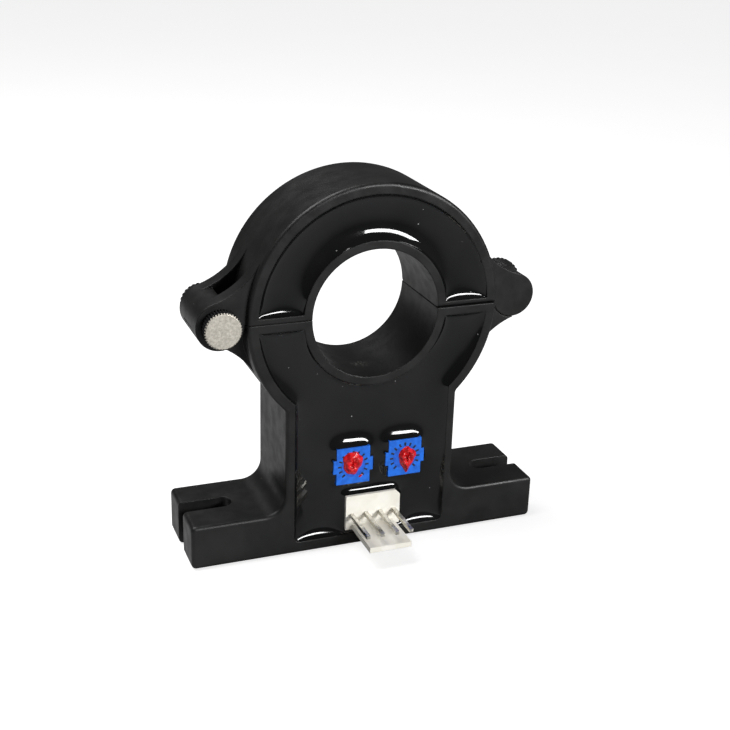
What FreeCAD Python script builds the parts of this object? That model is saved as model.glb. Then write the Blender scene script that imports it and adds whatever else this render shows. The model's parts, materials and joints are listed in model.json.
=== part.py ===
import FreeCAD, Part
import math
import os

import Sketcher

# Split-core Hall-effect current sensor: a footed housing and a hinged shell that close
# round a cable, each with a half of the magnetic core potted in glossy resin.
# Millimetres. X runs along the base, Y from the front face to the back, Z up.
# The origin is the centre of the underside of the base.

doc = FreeCAD.newDocument("split_core_sensor")
sheet = doc.addObject("Spreadsheet::Sheet", "Sizes")


class Size:
    """A number together with the sheet formula that gives it."""

    def __init__(self, value, text):
        self.value = value
        self.text = text

    def __add__(self, other):
        other = as_size(other)
        return Size(self.value + other.value, f"({self.text} + {other.text})")

    def __sub__(self, other):
        other = as_size(other)
        return Size(self.value - other.value, f"({self.text} - {other.text})")

    def __mul__(self, other):
        other = as_size(other)
        return Size(self.value * other.value, f"({self.text} * {other.text})")

    def __truediv__(self, other):
        other = as_size(other)
        return Size(self.value / other.value, f"({self.text} / {other.text})")

    def __neg__(self):
        return Size(-self.value, f"(0 - {self.text})")


def as_size(number):
    if isinstance(number, Size):
        return number
    return Size(float(number), f"{float(number):.6g}")


def root(size):
    return Size(math.sqrt(size.value), f"sqrt({size.text})")


def across(radius, height):
    """Half the chord of a circle at this distance from its centre."""
    return root(radius * radius - height * height)


def driving(alias, value):
    """One driving dimension, in its own cell of the sheet."""
    cell = f"A{driving.row}"
    driving.row += 1
    sheet.set(cell, str(value))
    sheet.setAlias(cell, alias)
    return Size(float(value), f"Sizes.{alias}")


driving.row = 1
ZERO = as_size(0)

# Housing and shell
base_length = 62.0
body_depth = 15.4
base_height = 7.7
axis_height = 41.5
ring_radius = 21.4
bore_radius = 10.8
column_width = 30.0
foot_fillet = 3.5
neck_fillet = 1.0
corner_radius = 0.8
edge_radius = 0.6
ring_wall = 1.8
bore_wall = 1.4
column_wall = 1.5
floor_wall = 2.1
back_wall = 1.5
lower_face_wall = 1.4
upper_face_wall = 0.9
recess_corner = 1.0
parting_gap = 0.12

# Open slots in the feet
slot_radius = 1.75
slot_reach = 8.7

# Ears: the shell's prongs straddle the housing's tongue and knuckle
ear_fillet = 13.0
ear_root = 1.1
knuckle_play = 0.12
lobe_clearance = 0.2
shoulder_clearance = 0.12
clamp_gap = 0.2
clamp_setback = 0.9
clamp_prong = 2.9
clamp_space = 4.8
clamp_rear_prong = 2.85
clamp_lobe = 3.9
roof_wall = 0.8
roof_reach = 0.9
roof_drop = 0.5
hinge_gap = 0.75
hinge_setback = 2.7
hinge_prong = 2.1
hinge_space = 2.75
hinge_rear_prong = 1.5
hinge_lobe = 3.75

# Hinge pin with a knurled head, thumb screw and knurled nut
pin_radius = 1.0
pin_skin = 0.6
seat_clearance = 0.02
running_clearance = 0.05
shank_radius = 1.0
swing_clearance = 0.3
head_radius = 3.0
head_thickness = 2.1
head_teeth = 40
nut_radius = 3.4
nut_thickness = 2.1
nut_teeth = 27
knob_radius = 4.5
knob_thickness = 1.0
knob_teeth = 34
knurl_depth = 0.22
knurl_share = 0.85
rod_bevel = 0.25
shank_tip = 0.3

# Magnetic core
core_wall = 5.4
core_standoff = 1.0
core_depth = 8.2
core_back_gap = 0.6
air_gap = 2.4
window_clearance = 0.15

# Resin fill
fill_setback = 1.0
fill_clearance = 0.03

# Circuit board and what it carries
board_side_gap = 0.9
board_core_gap = 0.9
board_bottom = 3.2
board_front = 4.8
board_thickness = 1.6
element_thickness = 1.5
element_width = 4.0
element_height = 3.1
lead_width = 0.4
lead_pitch = 1.27
lead_step = 1.3
chip_width = 3.9
chip_height = 4.9
chip_thickness = 1.5
chip_drop = 12.0
capacitor_length = 3.2
capacitor_width = 1.6
capacitor_spread = 7.0

# Trimmers
trimmer_width = 5.9
trimmer_height = 6.6
trimmer_lug = 0.55
trimmer_lug_height = 2.4
trimmer_left = -3.25
trimmer_right = 6.05
trimmer_left_level = 15.0
trimmer_right_level = 15.25
dial_radius = 2.1
dial_depth = 0.45
dial_slot = 0.5
dial_slot_length = 3.4
lacquer_width = 3.4
lacquer_height = 4.0
lacquer_rise = 0.8

# Four-pin header with a friction lock plate
header_offset = 0.35
header_level = 6.35
header_pitch = 2.54
header_width = 9.8
header_height = 6.3
header_proud = 1.5
header_chamfer = 0.85
pin_drop = 0.45
pin_square = 0.64
pin_length = 8.3
pin_point = 0.3
plate_width = 7.4
plate_reach = 8.5
plate_thickness = 0.95
header_pins = 4

# Each length above is written in a cell of the sheet, and stands for that cell from here on
lengths = {name: value for name, value in globals().items() if isinstance(value, float)}
for name, value in lengths.items():
    globals()[name] = driving(name, value)
doc.recompute()

# Places that several pieces share
front_face = -body_depth / 2
back_face = body_depth / 2
half_gap = parting_gap / 2
recess_radius = ring_radius - ring_wall
tube_radius = bore_radius + bore_wall
recess_half = column_width / 2 - column_wall
recess_back = back_face - back_wall
recess_depth = body_depth - back_wall
clamp_tongue = clamp_lobe - roof_wall - lobe_clearance
core_inner = tube_radius + core_standoff
core_outer = core_inner + core_wall
core_back = recess_back - core_back_gap
core_front = core_back - core_depth
board_width = (recess_half - board_side_gap) * 2
board_height = axis_height - core_outer - board_core_gap - board_bottom
board_face = front_face + board_front
board_back = board_face + board_thickness
header_face = front_face + fill_setback - header_proud
header_bottom = header_level - header_height / 2


# Sketch and feature helpers

def bind(thing, path, size):
    thing.setExpression(path, as_size(size).text)


def new_body(label):
    body = doc.addObject("PartDesign::Body", label)
    body.Label = label
    return body


def origin_feature(body, role):
    for feature in body.Origin.OriginFeatures:
        if feature.Role == role:
            return feature
    raise ValueError(role)


def new_sketch(body, name, role, offset):
    """A sketch parallel to an origin plane. XZ sketches face the front: offset is -Y."""
    sketch = body.newObject("Sketcher::SketchObject", name)
    sketch.AttachmentSupport = (origin_feature(body, role), [""])
    sketch.MapMode = "FlatFace"
    bind(sketch, "AttachmentOffset.Base.z", offset)
    return sketch


def point_constraint(rules, kind, geometry, end, size):
    rules.append((Sketcher.Constraint(kind, -1, 1, geometry, end, size.value), size))


def draw_outline(sketch, points, links):
    """A closed outline. links[i] joins points[i] to the next point: None is a line,
    (centre x, centre y, turn) an arc, counter-clockwise where turn is positive."""
    rules = []
    first = sketch.GeometryCount
    ends = []
    for index, link in enumerate(links):
        x0, y0 = (size.value for size in points[index])
        x1, y1 = (size.value for size in points[(index + 1) % len(points)])
        if link is None:
            line = Part.LineSegment(FreeCAD.Vector(x0, y0, 0), FreeCAD.Vector(x1, y1, 0))
            sketch.addGeometry(line, False)
            ends.append((1, 2))
            continue
        cx, cy, turn = link
        start = math.atan2(y0 - cy.value, x0 - cx.value)
        stop = math.atan2(y1 - cy.value, x1 - cx.value)
        if turn < 0:
            start, stop = stop, start
        if stop <= start:
            stop += 2 * math.pi
        radius = math.hypot(x0 - cx.value, y0 - cy.value)
        centre = FreeCAD.Vector(cx.value, cy.value, 0)
        circle = Part.Circle(centre, FreeCAD.Vector(0, 0, 1), radius)
        sketch.addGeometry(Part.ArcOfCircle(circle, start, stop), False)
        ends.append((1, 2) if turn > 0 else (2, 1))
    for index, link in enumerate(links):
        geometry = first + index
        after = first + (index + 1) % len(links)
        joint = Sketcher.Constraint(
            "Coincident", geometry, ends[index][1], after, ends[(index + 1) % len(links)][0]
        )
        rules.append((joint, None))
        x, y = points[index]
        before = links[index - 1]
        steep = False
        flat = False
        if before is not None:
            # a point at the end of an arc needs only the coordinate that the arc crosses
            steep = abs(x.value - before[0].value) >= abs(y.value - before[1].value)
            flat = not steep
        if not steep:
            point_constraint(rules, "DistanceX", geometry, ends[index][0], x)
        if not flat:
            point_constraint(rules, "DistanceY", geometry, ends[index][0], y)
        if link is not None:
            point_constraint(rules, "DistanceX", geometry, 3, link[0])
            point_constraint(rules, "DistanceY", geometry, 3, link[1])
    add_rules(sketch, rules)


def draw_circle(sketch, x, y, radius):
    geometry = sketch.GeometryCount
    centre = FreeCAD.Vector(x.value, y.value, 0)
    circle = Part.Circle(centre, FreeCAD.Vector(0, 0, 1), radius.value)
    sketch.addGeometry(circle, False)
    rules = []
    point_constraint(rules, "DistanceX", geometry, 3, x)
    point_constraint(rules, "DistanceY", geometry, 3, y)
    rules.append((Sketcher.Constraint("Radius", geometry, radius.value), radius))
    add_rules(sketch, rules)


def draw_box(sketch, left, right, low, high):
    corners = [(left, low), (right, low), (right, high), (left, high)]
    draw_outline(sketch, corners, [None] * len(corners))


def add_rules(sketch, rules):
    first = sketch.ConstraintCount
    sketch.addConstraint([rule for rule, size in rules])
    for index, (rule, size) in enumerate(rules):
        if size is not None:
            bind(sketch, f"Constraints[{first + index}]", size)


def mirrored(points, links, top):
    """Both halves of an outline that is symmetric about X = 0. The points run up the
    right side, top joins the two upper ends, and a line joins the lower ends."""
    all_points = points + [(-x, y) for x, y in reversed(points)]
    all_links = links + [top]
    for link in reversed(links):
        if link is None:
            all_links.append(None)
        else:
            all_links.append((-link[0], link[1], link[2]))
    return all_points, all_links + [None]


def pad(body, name, sketch, length):
    """Pads an XZ sketch towards the front, an XY sketch upwards."""
    feature = body.newObject("PartDesign::Pad", name)
    feature.Profile = sketch
    bind(feature, "Length", length)
    doc.recompute()
    return feature


def pocket(body, name, sketch, length):
    """Cuts from an XZ sketch towards the back, from an XY sketch downwards."""
    before = body.Shape.Volume
    feature = body.newObject("PartDesign::Pocket", name)
    feature.Profile = sketch
    bind(feature, "Length", length)
    doc.recompute()
    if not body.Shape.Volume < before:
        raise RuntimeError(f"{name} cuts nothing")
    return feature


def round_edges(body, name, base, radius, wanted):
    """Fillets the edges of a feature for which wanted(edge) is true."""
    names = [f"Edge{i + 1}" for i, edge in enumerate(base.Shape.Edges) if wanted(edge)]
    feature = body.newObject("PartDesign::Fillet", name)
    feature.Base = (base, names)
    bind(feature, "Radius", radius)
    doc.recompute()
    return feature


def bevel_edges(body, name, base, width, wanted):
    names = [f"Edge{i + 1}" for i, edge in enumerate(base.Shape.Edges) if wanted(edge)]
    feature = body.newObject("PartDesign::Chamfer", name)
    feature.Base = (base, names)
    bind(feature, "Size", width)
    doc.recompute()
    return feature


def place(thing, x=ZERO, y=ZERO, z=ZERO):
    bind(thing, "Placement.Base.x", x)
    bind(thing, "Placement.Base.y", y)
    bind(thing, "Placement.Base.z", z)


def near(value, size):
    return abs(value - size.value) < 1e-4


def on_end_faces(edge):
    """Whether the edge lies in the front or the back face of a body of full depth."""
    box = edge.BoundBox
    if box.YLength > 1e-4:
        return False
    return near(box.YMin, front_face) or near(box.YMin, back_face)


# The ears

class Ear:
    """The clamp or the hinge: its side of the ring (1 on the right), its pin axis, its two
    prongs as (name, front, length), and the space between them."""

    def __init__(self, name, side, stand, setback, prong, space, rear_prong):
        self.name = name
        self.side = side
        self.offset = ring_radius + stand
        self.x = self.offset * side
        self.face = front_face + setback
        self.inner = self.face + prong
        self.space = space
        self.back = self.inner + space + rear_prong
        self.depth = self.back - self.face
        self.prongs = [
            ("front", self.face, prong),
            ("back", self.inner + space, rear_prong),
        ]


clamp = Ear(
    "clamp",
    -1,
    clamp_gap + clamp_lobe,
    clamp_setback,
    clamp_prong,
    clamp_space,
    clamp_rear_prong,
)
hinge = Ear(
    "hinge",
    1,
    hinge_gap + hinge_lobe,
    hinge_setback,
    hinge_prong,
    hinge_space,
    hinge_rear_prong,
)


def ear_outline(ear, up, lobe, shelf=None):
    """One prong or knuckle: a lobe about the pin axis with a web that runs up (up = 1)
    or down (up = -1) into the ring through a concave fillet. A shelf ends the outer side
    of the lobe at that distance from the axis."""
    side = ear.side
    reach = ring_radius + ear_fillet
    span = lobe + ear_fillet
    fillet_x = (ear.offset * ear.offset + reach * reach - span * span) / (ear.offset * 2)
    fillet_z = across(reach, fillet_x)
    inner = ring_radius - ear_root
    local = [
        (fillet_x * ring_radius / reach, fillet_z * ring_radius / reach),
        (ear.offset + (fillet_x - ear.offset) * lobe / span, fillet_z * lobe / span),
        (ear.offset - across(lobe, half_gap), half_gap),
        (inner, half_gap),
        (fillet_x * inner / reach, fillet_z * inner / reach),
    ]
    if shelf is not None:
        local[2] = (ear.offset + across(lobe, shelf), shelf)
        local[3] = (inner, shelf)
    turn = side * up
    local_links = [
        (fillet_x, fillet_z, turn),
        (ear.offset, ZERO, -turn),
        None,
        None,
        None,
    ]
    points = [(x * side, axis_height + z * up) for x, z in local]
    links = []
    for link in local_links:
        if link is not None:
            link = (link[0] * side, axis_height + link[1] * up, link[2])
        links.append(link)
    return points, links


def add_ear(body, name, ear, up, lobe, start, length, shelf=None):
    sketch = new_sketch(body, f"{name}_outline", "XZ_Plane", -(start + length))
    draw_outline(sketch, *ear_outline(ear, up, lobe, shelf))
    return pad(body, name, sketch, length)


def add_knuckle(body, name, ear, lobe, shelf=None):
    """Fills the space between an ear's prongs but for some play."""
    start = ear.inner + knuckle_play
    length = ear.space - knuckle_play * 2
    return add_ear(body, name, ear, -1, lobe, start, length, shelf)


def cut_round(body, name, ear, radius, start, length):
    """A round cut along Y about a pin axis."""
    sketch = new_sketch(body, f"{name}_circle", "XZ_Plane", -start)
    draw_circle(sketch, ear.x, axis_height, radius)
    return pocket(body, name, sketch, length)


def cut_knob_room(body):
    """A hollow in the side of the ring for the rim of the hinge pin's head."""
    room = knob_radius + lobe_clearance
    length = knob_thickness + lobe_clearance
    return cut_round(body, "knob_room", hinge, room, hinge.back, length)


def cut_windows(body, name, level, length):
    """Openings in a parting face for the two ends of the core."""
    sketch = new_sketch(body, f"{name}_outline", "XY_Plane", level)
    low = core_front - window_clearance
    high = core_back + window_clearance
    near_x = core_inner - window_clearance
    far_x = core_outer + window_clearance
    draw_box(sketch, near_x, far_x, low, high)
    draw_box(sketch, -far_x, -near_x, low, high)
    return pocket(body, name, sketch, length)


# Lower housing: base, column and the lower half of the ring, moulded in one

def housing_outline():
    half = base_length / 2
    side = column_width / 2
    end = half - corner_radius
    top = base_height - corner_radius
    reach = ring_radius + neck_fillet
    neck_x = side + neck_fillet
    neck_z = across(reach, neck_x)
    face = axis_height - half_gap
    points = [
        (end, ZERO),
        (half, corner_radius),
        (half, top),
        (end, base_height),
        (side + foot_fillet, base_height),
        (side, base_height + foot_fillet),
        (side, axis_height - neck_z),
        (neck_x * ring_radius / reach, axis_height - neck_z * ring_radius / reach),
        (across(ring_radius, half_gap), face),
    ]
    links = [
        (end, corner_radius, 1),
        None,
        (end, top, 1),
        None,
        (side + foot_fillet, base_height + foot_fillet, -1),
        None,
        (neck_x, axis_height - neck_z, -1),
        (ZERO, axis_height, 1),
    ]
    return mirrored(points, links, None)


def lower_recess_outline(inset):
    bottom = floor_wall + inset
    side = recess_half - inset
    outer = recess_radius - inset
    drop = half_gap + lower_face_wall + inset
    level = axis_height - drop
    points = [
        (side - recess_corner, bottom),
        (side, bottom + recess_corner),
        (side, axis_height - across(outer, side)),
        (across(outer, drop), level),
        (across(tube_radius + inset, drop), level),
    ]
    links = [
        (side - recess_corner, bottom + recess_corner, 1),
        None,
        (ZERO, axis_height, 1),
        None,
    ]
    return mirrored(points, links, (ZERO, axis_height, -1))


def upper_recess_outline(inset):
    rise = half_gap + upper_face_wall + inset
    level = axis_height + rise
    inner = across(tube_radius + inset, rise)
    outer = across(recess_radius - inset, rise)
    points = [(inner, level), (outer, level), (-outer, level), (-inner, level)]
    links = [None, (ZERO, axis_height, 1), None, (ZERO, axis_height, -1)]
    return points, links


def make_lower_housing():
    body = new_body("lower_housing")
    sketch = new_sketch(body, "housing_outline", "XZ_Plane", -back_face)
    draw_outline(sketch, *housing_outline())
    block = pad(body, "housing_block", sketch, body_depth)

    def rounded(edge):
        return on_end_faces(edge) and not near(edge.BoundBox.ZMin, axis_height - half_gap)

    round_edges(body, "housing_edges", block, edge_radius, rounded)

    # feet slots, open at the ends of the base
    slots = new_sketch(body, "foot_slots_outline", "XY_Plane", base_height)
    closed = base_length / 2 - slot_reach + slot_radius
    over = base_length / 2 + slot_radius
    for side in (1, -1):
        points = [
            (over * side, -slot_radius),
            (over * side, slot_radius),
            (closed * side, slot_radius),
            (closed * side, -slot_radius),
        ]
        links = [None, None, (closed * side, ZERO, side), None]
        draw_outline(slots, points, links)
    pocket(body, "foot_slots", slots, base_height)

    bore = new_sketch(body, "bore_circle", "XZ_Plane", -front_face)
    draw_circle(bore, ZERO, axis_height, bore_radius)
    pocket(body, "bore", bore, body_depth)

    cut_knob_room(body)

    # shoulders that carry the line of the hinge lobes down into the ring
    room = hinge_lobe + shoulder_clearance
    for name, start, length in hinge.prongs:
        add_ear(body, f"hinge_shoulder_{name}", hinge, -1, hinge_lobe, start, length)
        cut_round(body, f"hinge_lobe_{name}_room", hinge, room, start, length)

    # under the shell's roof the tongue is narrower, and below the roof it is flush
    add_knuckle(body, "clamp_tongue", clamp, clamp_tongue)
    add_knuckle(body, "clamp_knuckle", clamp, clamp_lobe, roof_drop + lobe_clearance)
    add_knuckle(body, "hinge_knuckle", hinge, hinge_lobe)
    cut_round(body, "pin_hole", hinge, pin_radius + seat_clearance, hinge.inner, hinge.space)

    # the tongue is open at the top, so that the screw swings out with the shell
    swing = shank_radius + swing_clearance
    slot = new_sketch(body, "swing_slot_outline", "XZ_Plane", -clamp.inner)
    mouth = axis_height + clamp_tongue + swing
    points = [
        (clamp.x + swing, mouth),
        (clamp.x - swing, mouth),
        (clamp.x - swing, axis_height),
        (clamp.x + swing, axis_height),
    ]
    draw_outline(slot, points, [None, None, (clamp.x, axis_height, 1), None])
    pocket(body, "swing_slot", slot, clamp.space)

    recess = new_sketch(body, "recess_outline", "XZ_Plane", -front_face)
    draw_outline(recess, *lower_recess_outline(ZERO))
    pocket(body, "recess", recess, recess_depth)
    cut_windows(body, "core_windows", axis_height - half_gap, lower_face_wall)
    return body


# Upper shell: the other half of the ring, with the prongs of both ears

def make_upper_shell():
    body = new_body("upper_shell")
    sketch = new_sketch(body, "shell_outline", "XZ_Plane", -back_face)
    face = axis_height + half_gap
    outer = across(ring_radius, half_gap)
    inner = across(bore_radius, half_gap)
    points = [(inner, face), (outer, face), (-outer, face), (-inner, face)]
    links = [None, (ZERO, axis_height, 1), None, (ZERO, axis_height, -1)]
    draw_outline(sketch, points, links)
    block = pad(body, "shell_block", sketch, body_depth)

    def rounded(edge):
        return on_end_faces(edge) and near(edge.BoundBox.XMax, outer)

    round_edges(body, "shell_edges", block, edge_radius, rounded)

    cut_knob_room(body)
    for ear, lobe in ((clamp, clamp_lobe), (hinge, hinge_lobe)):
        for name, start, length in ear.prongs:
            add_ear(body, f"{ear.name}_prong_{name}", ear, 1, lobe, start, length)

    # a curved roof joins the clamp prongs over the housing's tongue
    roof = new_sketch(body, "clamp_roof_outline", "XZ_Plane", -(clamp.inner + clamp.space))
    under = clamp_lobe - roof_wall
    low = axis_height - roof_drop
    right = clamp.x + roof_reach
    points = [
        (right, axis_height + across(clamp_lobe, roof_reach)),
        (clamp.x - across(clamp_lobe, roof_drop), low),
        (clamp.x - across(under, roof_drop), low),
        (right, axis_height + across(under, roof_reach)),
    ]
    links = [(clamp.x, axis_height, 1), None, (clamp.x, axis_height, -1), None]
    draw_outline(roof, points, links)
    pad(body, "clamp_roof", roof, clamp.space)

    clamp_hole = shank_radius + running_clearance
    hinge_hole = pin_radius + running_clearance
    cut_round(body, "clamp_hole", clamp, clamp_hole, clamp.face, clamp.depth)
    blind_start = hinge.face + pin_skin
    cut_round(body, "hinge_hole", hinge, hinge_hole, blind_start, hinge.depth - pin_skin)

    recess = new_sketch(body, "recess_outline", "XZ_Plane", -front_face)
    draw_outline(recess, *upper_recess_outline(ZERO))
    pocket(body, "recess", recess, recess_depth)
    level = axis_height + half_gap + upper_face_wall
    cut_windows(body, "core_windows", level, upper_face_wall)
    return body


# Magnetic core: a half ring in the shell, and two quarters with a gap for the Hall element

def make_core(label, points, links):
    body = new_body(label)
    sketch = new_sketch(body, f"{label}_outline", "XZ_Plane", -core_back)
    draw_outline(sketch, points, links)
    pad(body, f"{label}_ring", sketch, core_depth)
    return body


def make_cores():
    top = axis_height + half_gap
    outer = across(core_outer, half_gap)
    inner = across(core_inner, half_gap)
    points = [(inner, top), (outer, top), (-outer, top), (-inner, top)]
    links = [None, (ZERO, axis_height, 1), None, (ZERO, axis_height, -1)]
    upper = make_core("upper_core", points, links)
    quarters = []
    for side, label in ((-1, "lower_core_left"), (1, "lower_core_right")):
        gap = air_gap / 2 * side
        low = axis_height - half_gap
        points = [
            (inner * side, low),
            (outer * side, low),
            (gap, axis_height - across(core_outer, air_gap / 2)),
            (gap, axis_height - across(core_inner, air_gap / 2)),
        ]
        links = [None, (ZERO, axis_height, -side), None, (ZERO, axis_height, side)]
        quarters.append(make_core(label, points, links))
    return upper, quarters


# Pieces turned about a Y axis: hinge pin, thumb screw and knurled nut

def add_disc(body, name, radius, back, length):
    sketch = new_sketch(body, f"{name}_circle", "XZ_Plane", -back)
    draw_circle(sketch, ZERO, ZERO, radius)
    return pad(body, name, sketch, length)


def knurl(body, name, radius, teeth, front, length):
    """Straight V grooves round a rim, repeated about the Y axis."""
    sketch = new_sketch(body, f"{name}_groove_outline", "XZ_Plane", -front)
    half = radius * knurl_share * (math.pi / teeth)
    points = [
        (ZERO, radius - knurl_depth),
        (half, radius + knurl_depth / 4),
        (-half, radius + knurl_depth / 4),
    ]
    draw_outline(sketch, points, [None, None, None])
    groove = pocket(body, f"{name}_groove", sketch, length)
    pattern = body.newObject("PartDesign::PolarPattern", f"{name}_pattern")
    pattern.Originals = [groove]
    pattern.Axis = (origin_feature(body, "Y_Axis"), [""])
    pattern.Angle = 360
    pattern.Occurrences = teeth
    body.Tip = pattern
    doc.recompute()
    return pattern


def rim_edge(radius, level):
    def wanted(edge):
        box = edge.BoundBox
        wide = abs(box.XLength - 2 * radius.value) < 1e-3
        return wide and box.YLength < 1e-4 and near(box.YMin, level)

    return wanted


def make_hinge_pin():
    body = new_body("hinge_pin")
    knob = add_disc(body, "pin_knob", knob_radius, knob_thickness, knob_thickness)
    bevel_edges(body, "knob_bevel", knob, knurl_depth, rim_edge(knob_radius, knob_thickness))
    knurl(body, "knob", knob_radius, knob_teeth, ZERO, knob_thickness)
    length = hinge.depth - pin_skin - knuckle_play + running_clearance
    rod = add_disc(body, "pin_rod", pin_radius, ZERO, length)
    bevel_edges(body, "rod_bevel", rod, rod_bevel, rim_edge(pin_radius, -length))
    place(body, hinge.x, hinge.back + running_clearance, axis_height)
    return body


def make_clamp_screw():
    body = new_body("clamp_screw")
    head = add_disc(body, "screw_head", head_radius, ZERO, head_thickness)
    rim = rim_edge(head_radius, -head_thickness)
    bevel_edges(body, "head_bevel", head, knurl_depth, rim)
    knurl(body, "screw", head_radius, head_teeth, -head_thickness, head_thickness)
    length = clamp.depth + nut_thickness + shank_tip + running_clearance * 2
    shank = add_disc(body, "screw_shank", shank_radius, length, length)
    tip = rim_edge(shank_radius, length)
    bevel_edges(body, "shank_bevel", shank, rod_bevel, tip)
    place(body, clamp.x, clamp.face - running_clearance, axis_height)
    return body


def make_clamp_nut():
    body = new_body("clamp_nut")
    disc = add_disc(body, "nut_disc", nut_radius, nut_thickness, nut_thickness)
    rim = rim_edge(nut_radius, nut_thickness)
    bevel_edges(body, "nut_bevel", disc, knurl_depth, rim)
    knurl(body, "nut", nut_radius, nut_teeth, ZERO, nut_thickness)
    hole = new_sketch(body, "nut_hole_circle", "XZ_Plane", ZERO)
    draw_circle(hole, ZERO, ZERO, shank_radius + running_clearance)
    pocket(body, "nut_hole", hole, nut_thickness)
    place(body, clamp.x, clamp.back + running_clearance, axis_height)
    return body


# Circuit board and the small parts sealed in the resin

def make_box(label, width, thickness, height, x, y, z):
    """A plain block, centred on x, with its front at y and its bottom at z."""
    box = doc.addObject("Part::Box", label)
    box.Label = label
    bind(box, "Length", width)
    bind(box, "Width", thickness)
    bind(box, "Height", height)
    place(box, x - width / 2, y, z)
    return box


def make_board():
    body = new_body("circuit_board")
    sketch = new_sketch(body, "board_outline", "XZ_Plane", -board_back)
    half = board_width / 2
    draw_box(sketch, -half, half, board_bottom, board_bottom + board_height)
    pad(body, "board_sheet", sketch, board_thickness)
    holes = new_sketch(body, "board_holes", "XZ_Plane", -board_face)
    half = pin_square / 2
    level = header_level - pin_drop
    for x in header_pin_places():
        draw_box(holes, x - half, x + half, level - half, level + half)
    pocket(body, "board_pin_holes", holes, board_thickness)
    return body


def make_hall_element():
    """A flat three-lead package that stands in the core's gap, leads down to the board."""
    body = new_body("hall_element")
    middle = (core_front + core_back) / 2
    centre = axis_height - (core_inner + core_outer) / 2
    bottom = centre - element_height / 2
    back = middle + element_width / 2
    case = new_sketch(body, "element_outline", "XZ_Plane", -back)
    half = element_thickness / 2
    draw_box(case, -half, half, bottom, bottom + element_height)
    pad(body, "element_case", case, element_width)
    for number in range(3):
        # each lead drops a step further before it turns to the board
        level = board_bottom + board_height - lead_step * (number + 1)
        y = middle + lead_pitch * (number - 1) + lead_width / 2
        name = f"lead_{number + 1}"
        drop = new_sketch(body, f"{name}_drop_outline", "XZ_Plane", -y)
        draw_box(drop, -lead_width / 2, lead_width / 2, level, bottom)
        pad(body, f"{name}_drop", drop, lead_width)
        foot = new_sketch(body, f"{name}_foot_outline", "XZ_Plane", -y)
        draw_box(foot, -lead_width / 2, lead_width / 2, level, level + lead_width)
        pad(body, f"{name}_foot", foot, y - board_back)
    return body


def make_small_parts():
    level = board_bottom + board_height - chip_drop
    parts = [
        make_box("amplifier_chip", chip_width, chip_thickness, chip_height, ZERO, board_back, level)
    ]
    for number, side in ((1, -1), (2, 1)):
        parts.append(
            make_box(
                f"filter_capacitor_{number}",
                capacitor_width,
                capacitor_width,
                capacitor_length,
                capacitor_spread * side,
                board_back,
                level + (chip_height - capacitor_length) / 2,
            )
        )
    return parts


# Trimmers: a case with lugs, a dial with a driver slot, and a drop of sealing lacquer

def make_trimmer(label, x, level):
    face = front_face
    height = board_front
    case = new_body(f"{label}_case")
    sketch = new_sketch(case, f"{label}_outline", "XZ_Plane", ZERO)
    half = trimmer_width / 2
    lug = half + trimmer_lug
    rise = trimmer_height / 2
    step = trimmer_lug_height / 2
    points = [(half, -rise), (half, -step), (lug, -step), (lug, step), (half, step), (half, rise)]
    links = [None] * (len(points) - 1)
    draw_outline(sketch, *mirrored(points, links, None))
    pad(case, f"{label}_block", sketch, height)
    seat = new_sketch(case, f"{label}_seat_circle", "XZ_Plane", height)
    draw_circle(seat, ZERO, ZERO, dial_radius + seat_clearance)
    pocket(case, f"{label}_seat", seat, dial_depth)
    place(case, x, board_face, level)

    dial = new_body(f"{label}_dial")
    add_disc(dial, f"{label}_disc", dial_radius, ZERO, dial_depth)
    slot = new_sketch(dial, f"{label}_slot_outline", "XZ_Plane", dial_depth)
    arm = dial_slot_length / 2
    draw_box(slot, -dial_slot / 2, dial_slot / 2, -arm, arm)
    pocket(dial, f"{label}_slot", slot, dial_depth / 2)
    place(dial, x, face + dial_depth, level)

    lacquer = doc.addObject("Part::Ellipsoid", f"{label}_lacquer")
    lacquer.Label = f"{label}_lacquer"
    # the dome's first radius is its rise, along its own axis turned to face the front
    bind(lacquer, "Radius1", lacquer_rise)
    bind(lacquer, "Radius2", lacquer_width / 2)
    bind(lacquer, "Radius3", lacquer_height / 2)
    lacquer.Angle1 = 0
    lacquer.Placement.Rotation = FreeCAD.Rotation(FreeCAD.Vector(1, 0, 0), 90)
    place(lacquer, x, face, level)
    return case, dial, lacquer


# Header: a block with a friction lock plate under four square pins

def header_pin_places():
    first = header_offset - header_pitch * (header_pins - 1) / 2
    return [first + header_pitch * number for number in range(header_pins)]


def make_header():
    body = new_body("header_body")
    block = new_sketch(body, "header_outline", "XZ_Plane", -board_face)
    half = header_width / 2
    left = header_offset - half
    right = header_offset + half
    top = header_bottom + header_height
    points = [
        (left, header_bottom),
        (right, header_bottom),
        (right, top - header_chamfer),
        (right - header_chamfer, top),
        (left, top),
    ]
    draw_outline(block, points, [None] * len(points))
    pad(body, "header_block", block, board_face - header_face)
    plate = new_sketch(body, "plate_outline", "XZ_Plane", -board_face)
    reach = plate_width / 2
    draw_box(
        plate,
        header_offset - reach,
        header_offset + reach,
        header_bottom,
        header_bottom + plate_thickness,
    )
    pad(body, "lock_plate", plate, board_face - header_face + plate_reach)
    holes = new_sketch(body, "header_holes", "XZ_Plane", -header_face)
    half = pin_square / 2
    level = header_level - pin_drop
    for x in header_pin_places():
        draw_box(holes, x - half, x + half, level - half, level + half)
    pocket(body, "header_pin_holes", holes, board_face - header_face)
    return body


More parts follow.
